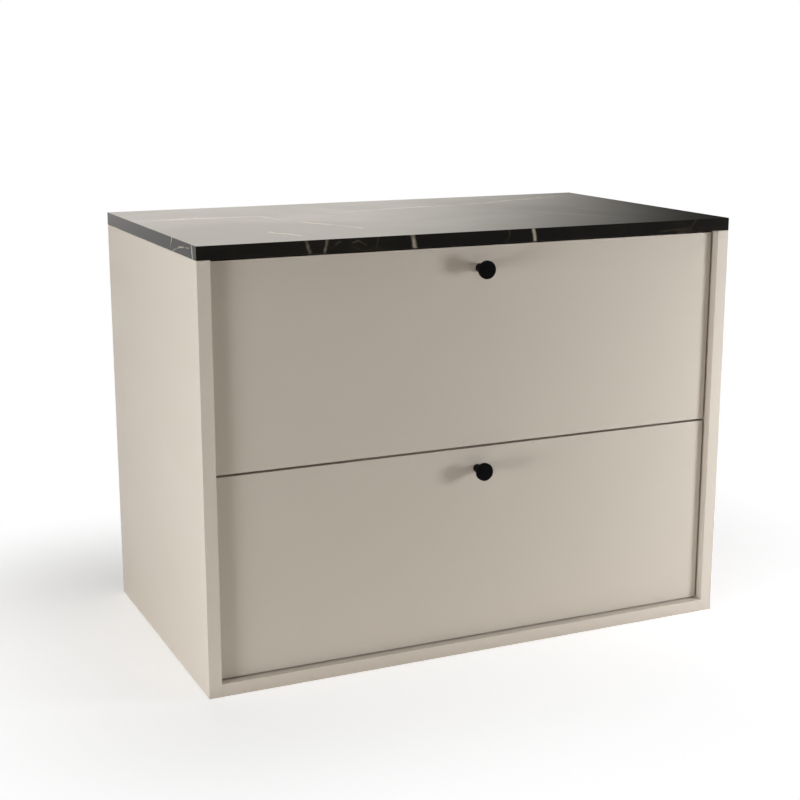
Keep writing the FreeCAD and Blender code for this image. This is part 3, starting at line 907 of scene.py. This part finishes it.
for level in levels:
    low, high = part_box(level + "_knob")
    piece = add_object(level + "_turned_knob", lathe(level + "_turned_knob", knob_profile, knob_sides))
    ease = piece.modifiers.new("ease", "BEVEL")
    ease.width = ease_width
    ease.segments = ease_steps
    ease.angle_limit = ease_angle
    mesh = bake(piece)
    to_front = Matrix.Translation(((low.x + high.x) / 2, high.y, (low.z + high.z) / 2))
    mesh.transform(to_front @ Matrix.Rotation(math.pi / 2, 4, "X"))
    smooth(mesh)
    mesh.materials.append(knob_black)
    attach(piece, level + "_drawer")
    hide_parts(level + "_knob")
    print(piece.name, "faces", len(mesh.polygons))

# %% [markdown]
# ## Screws and cams
#
# The cabinet is held together by small repeated pieces: pan-head screws, flat-head runner screws and the
# cams of the carcass joints. Only their heads show, when a drawer is open or from behind. One piece of
# each kind is turned on the lathe and gets its driver's cross by a Boolean. Geometry Nodes then set a
# copy on every place where the CAD model has one, each turned by its own seeded angle, because no screw
# stops at the same angle as the next.

# %% One fastener with a driver's cross
fastener_sides = 24


def cross_cutter(length, width, depth, mouth, taper):
    """A tapered cross that enters a head from its mouth, along +Z."""
    arm = [(length / 2, -width / 2), (length / 2, width / 2), (width / 2, width / 2)]
    corners = []
    for quarter in range(4):
        corners += arm
        arm = [(-y, x) for x, y in arm]
    work = bmesh.new()
    above = [work.verts.new((x, y, mouth - depth / 2)) for x, y in corners]
    below = [work.verts.new((x * taper, y * taper, mouth + depth)) for x, y in corners]
    work.faces.new(above[::-1])
    work.faces.new(below)
    for i in range(len(corners)):
        j = (i + 1) % len(corners)
        work.faces.new((above[i], above[j], below[j], below[i]))
    bmesh.ops.recalc_face_normals(work, faces=work.faces)
    mesh = bpy.data.meshes.new("cross_cutter")
    work.to_mesh(mesh)
    work.free()
    return add_object("cross_cutter", mesh)


def join_doubles(mesh):
    """Merges the points that lie on top of each other, which a Boolean can leave."""
    work = bmesh.new()
    work.from_mesh(mesh)
    bmesh.ops.remove_doubles(work, verts=work.verts, dist=same_point)
    work.to_mesh(mesh)
    work.free()


def make_fastener(name, profile, length, width, depth, taper):
    """A turned fastener whose mouth is its lowest point, with a cross cut into it."""
    piece = add_object(name, lathe(name, profile, fastener_sides))
    cutter = cross_cutter(length, width, depth, min(height for radius, height in profile), taper)
    cut = piece.modifiers.new("cross", "BOOLEAN")
    cut.operation = "DIFFERENCE"
    cut.solver = "EXACT"
    cut.object = cutter
    mesh = bake(piece)
    join_doubles(mesh)
    smooth(mesh)
    bpy.data.objects.remove(cutter)
    return piece


print("fasteners can be turned")

# %% The three kinds of fastener
pan_head = 0.0025
pan_outline = [
    (0.0, -pan_head), (0.0013, -0.00244), (0.0024, -0.0022),
    (0.0033, -0.0017), (0.0039, -0.0009), (0.0040, 0.0),
]
pan_shank = 0.0020
flat_head = 0.0012
flat_shank = 0.00175
flat_outline = [(0.0, -flat_head), (0.0029, -flat_head), (0.0030, -0.0011), (flat_shank, 0.0)]
screw_point = 0.0025
cam_radius = 0.0075
cam_ease = 0.0004


def pan_screw(reach):
    """A screw with a rounded head."""
    stem = [(pan_shank, 0.0), (pan_shank, reach - screw_point), (0.0, reach)]
    return make_fastener("pan_screw", pan_outline + stem,
                         length=0.0042, width=0.0010, depth=0.0014, taper=0.6)


def flat_screw(reach):
    """A screw with a thin flat head, which lets a runner pass."""
    stem = [(flat_shank, reach - screw_point), (0.0, reach)]
    return make_fastener("flat_screw", flat_outline + stem,
                         length=0.0032, width=0.0008, depth=0.0008, taper=0.6)


def cross_cam(reach):
    """A cam that is turned to pull two boards together."""
    rim = [(cam_radius - cam_ease, 0.0), (cam_radius, cam_ease), (cam_radius, reach)]
    disc = [(0.0, 0.0)] + rim + [(0.0, reach)]
    return make_fastener("cross_cam", disc, length=0.0100, width=0.0018, depth=0.0030, taper=0.85)


print("heads stand out by", pan_head, "and", flat_head)


# %% Geometry Nodes that set the fasteners
def build_setter():
    """A tree that puts one fastener on each point, along the point's own drive axis."""
    tree = bpy.data.node_groups.new("set_fasteners", "GeometryNodeTree")
    tree.interface.new_socket("Geometry", in_out="INPUT", socket_type="NodeSocketGeometry")
    kinds = {"Fastener": "Object", "Size": "Float", "Most Turn": "Float", "Seed": "Int",
             "Finish": "Material"}
    sockets = {}
    for title, kind in kinds.items():
        socket = tree.interface.new_socket(title, in_out="INPUT", socket_type="NodeSocket" + kind)
        sockets[title] = socket.identifier
    tree.interface.new_socket("Geometry", in_out="OUTPUT", socket_type="NodeSocketGeometry")
    entry = tree.nodes.new("NodeGroupInput").outputs
    named = {"Name": "drive_axis"}
    axis = add_node(tree, "GeometryNodeInputNamedAttribute", named, data_type="FLOAT_VECTOR")
    stored = {"Vector": axis.outputs["Attribute"]}
    upright = add_node(tree, "FunctionNodeAlignRotationToVector", stored, axis="Z")
    angle = add_node(tree, "FunctionNodeRandomValue", data_type="FLOAT")
    limits = [socket for socket in angle.inputs if socket.type == "VALUE"]
    limits[0].default_value = 0.0
    tree.links.new(entry["Most Turn"], limits[1])
    tree.links.new(entry["Seed"], angle.inputs["Seed"])
    spun = [socket for socket in angle.outputs if socket.type == "VALUE"][0]
    twist = add_node(tree, "FunctionNodeAxisAngleToRotation", {"Axis": (0.0, 0.0, 1.0), "Angle": spun})
    turns = {"Rotation": upright.outputs[0], "Rotate By": twist.outputs[0]}
    turned = add_node(tree, "FunctionNodeRotateRotation", turns, rotation_space="LOCAL")
    shape = add_node(tree, "GeometryNodeObjectInfo", {"Object": entry["Fastener"]})
    placed = add_node(tree, "GeometryNodeInstanceOnPoints",
                      {"Points": entry["Geometry"], "Instance": shape.outputs["Geometry"],
                       "Rotation": turned.outputs[0], "Scale": entry["Size"]})
    real = add_node(tree, "GeometryNodeRealizeInstances", {"Geometry": placed.outputs[0]})
    coated = {"Geometry": real.outputs[0], "Material": entry["Finish"]}
    done = add_node(tree, "GeometryNodeSetMaterial", coated)
    leave = tree.nodes.new("NodeGroupOutput")
    tree.links.new(done.outputs[0], leave.inputs[0])
    return tree, sockets


setter, setter_inputs = build_setter()
print("setter inputs", list(setter_inputs))

# %% [markdown]
# ## Places of the fasteners
#
# The CAD model keeps all fasteners of a kind in one node, as separate solids. Their places could be typed
# in again, but then they would stay behind when the CAD model changes. So the solids are taken apart
# here, and the seat of each one is read from its box. They are taken in the order of their points, which
# keeps each seeded angle on the same screw in every run.

# %% Find where the CAD model has its fasteners
def solid_boxes(node):
    """The lowest and highest corner of each separate solid in a CAD node."""
    work = bmesh.new()
    work.from_mesh(frame["nodes"][node].data)
    bmesh.ops.remove_doubles(work, verts=work.verts, dist=same_point)
    left = set(work.verts)
    boxes = []
    for first in work.verts:
        if first not in left:
            continue
        left.remove(first)
        queue = [first]
        island = []
        while queue:
            vert = queue.pop()
            island.append(vert.co.copy())
            for edge in vert.link_edges:
                other = edge.other_vert(vert)
                if other in left:
                    left.remove(other)
                    queue.append(other)
        low = Vector([min(co[i] for co in island) for i in range(3)])
        high = Vector([max(co[i] for co in island) for i in range(3)])
        boxes.append((low, high))
    work.free()
    return boxes


def fastener_seats(node, drive, head):
    """The seat, drive axis and reach of each fastener, whose head stands out from the seat."""
    seats = []
    for low, high in solid_boxes(node):
        middle = (low + high) / 2
        axis = Vector(drive(middle))
        half = sum(abs(axis[i]) * (high[i] - low[i]) / 2 for i in range(3))
        seats.append((middle - axis * (half - head), axis, 2 * half - head))
    return seats


print("carcass cams", len(solid_boxes("carcass_cams")))

# %% Which way the fasteners are driven
rear_rails = 0.2
half_height = 0.3


def up(middle):
    """From a board below into the one above it."""
    return (0, 0, 1)


def forward(middle):
    """From inside a drawer box towards its front."""
    return (0, -1, 0)


def outward(middle):
    """Towards the side panel that is nearer."""
    return (math.copysign(1, middle.x), 0, 0)


def inward(middle):
    """Away from the side panel that is nearer."""
    return (-math.copysign(1, middle.x), 0, 0)


def into_board(middle):
    """Cams open towards the inside of the cabinet."""
    if abs(middle.y) > rear_rails:
        return (0, 1, 0)
    return (0, 0, -1) if middle.z < half_height else (0, 0, 1)


front_seats = fastener_seats("upper_front_screws", forward, pan_head)
print("front screws at", [[round(v, 3) for v in seat] for seat, axis, reach in front_seats])

# %% Helper that sets fasteners
most_turn = math.pi / 2


def set_fasteners(name, node, body, drive, seed, maker, head, slot):
    """One baked piece with a fastener on every place of a CAD node."""
    seats = fastener_seats(node, drive, head)
    mesh = bpy.data.meshes.new(name)
    mesh.from_pydata([seat for seat, axis, reach in seats], [], [])
    attribute = mesh.attributes.new("drive_axis", "FLOAT_VECTOR", "POINT")
    attribute.data.foreach_set("vector", [value for seat, axis, reach in seats for value in axis])
    piece = add_object(name, mesh)
    first_reach = seats[0][2]
    fastener = maker(first_reach)
    modifier = piece.modifiers.new("set", "NODES")
    modifier.node_group = setter
    values = {"Fastener": fastener, "Size": 1.0, "Most Turn": most_turn, "Seed": seed,
              "Finish": finishes[slot]}
    for title, value in values.items():
        modifier[setter_inputs[title]] = value
    made = bake(piece)
    bpy.data.objects.remove(fastener)
    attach(piece, body)
    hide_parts(node)
    print(name, len(seats), "pieces", len(made.polygons), "faces")


print("most turn of a fastener", round(math.degrees(most_turn)))

# %% Set the fasteners
pan = {"maker": pan_screw, "head": pan_head, "slot": "screw_steel"}
flat = {"maker": flat_screw, "head": flat_head, "slot": "screw_steel"}
cam = {"maker": cross_cam, "head": 0.0, "slot": "cam_zinc"}

set_fasteners("worktop_pan_screws", "worktop_screws", "cabinet", up, seed=1, **pan)
set_fasteners("trap_wall_pan_screws", "upper_trap_wall_screws", "upper_drawer", up, seed=2, **pan)
set_fasteners("cabinet_rail_flat_screws", "cabinet_rail_screws", "cabinet", outward, seed=3, **flat)
set_fasteners("carcass_slotted_cams", "carcass_cams", "cabinet", into_board, seed=4, **cam)
for number, level in enumerate(levels):
    body = level + "_drawer"
    set_fasteners(level + "_front_pan_screws", level + "_front_screws", body, forward,
                  seed=5 + number, **pan)
    set_fasteners(level + "_knob_pan_screw", level + "_knob_screw", body, forward, seed=7 + number, **pan)
    set_fasteners(level + "_drawer_rail_flat_screws", level + "_drawer_rail_screws", body, inward,
                  seed=9 + number, **flat)
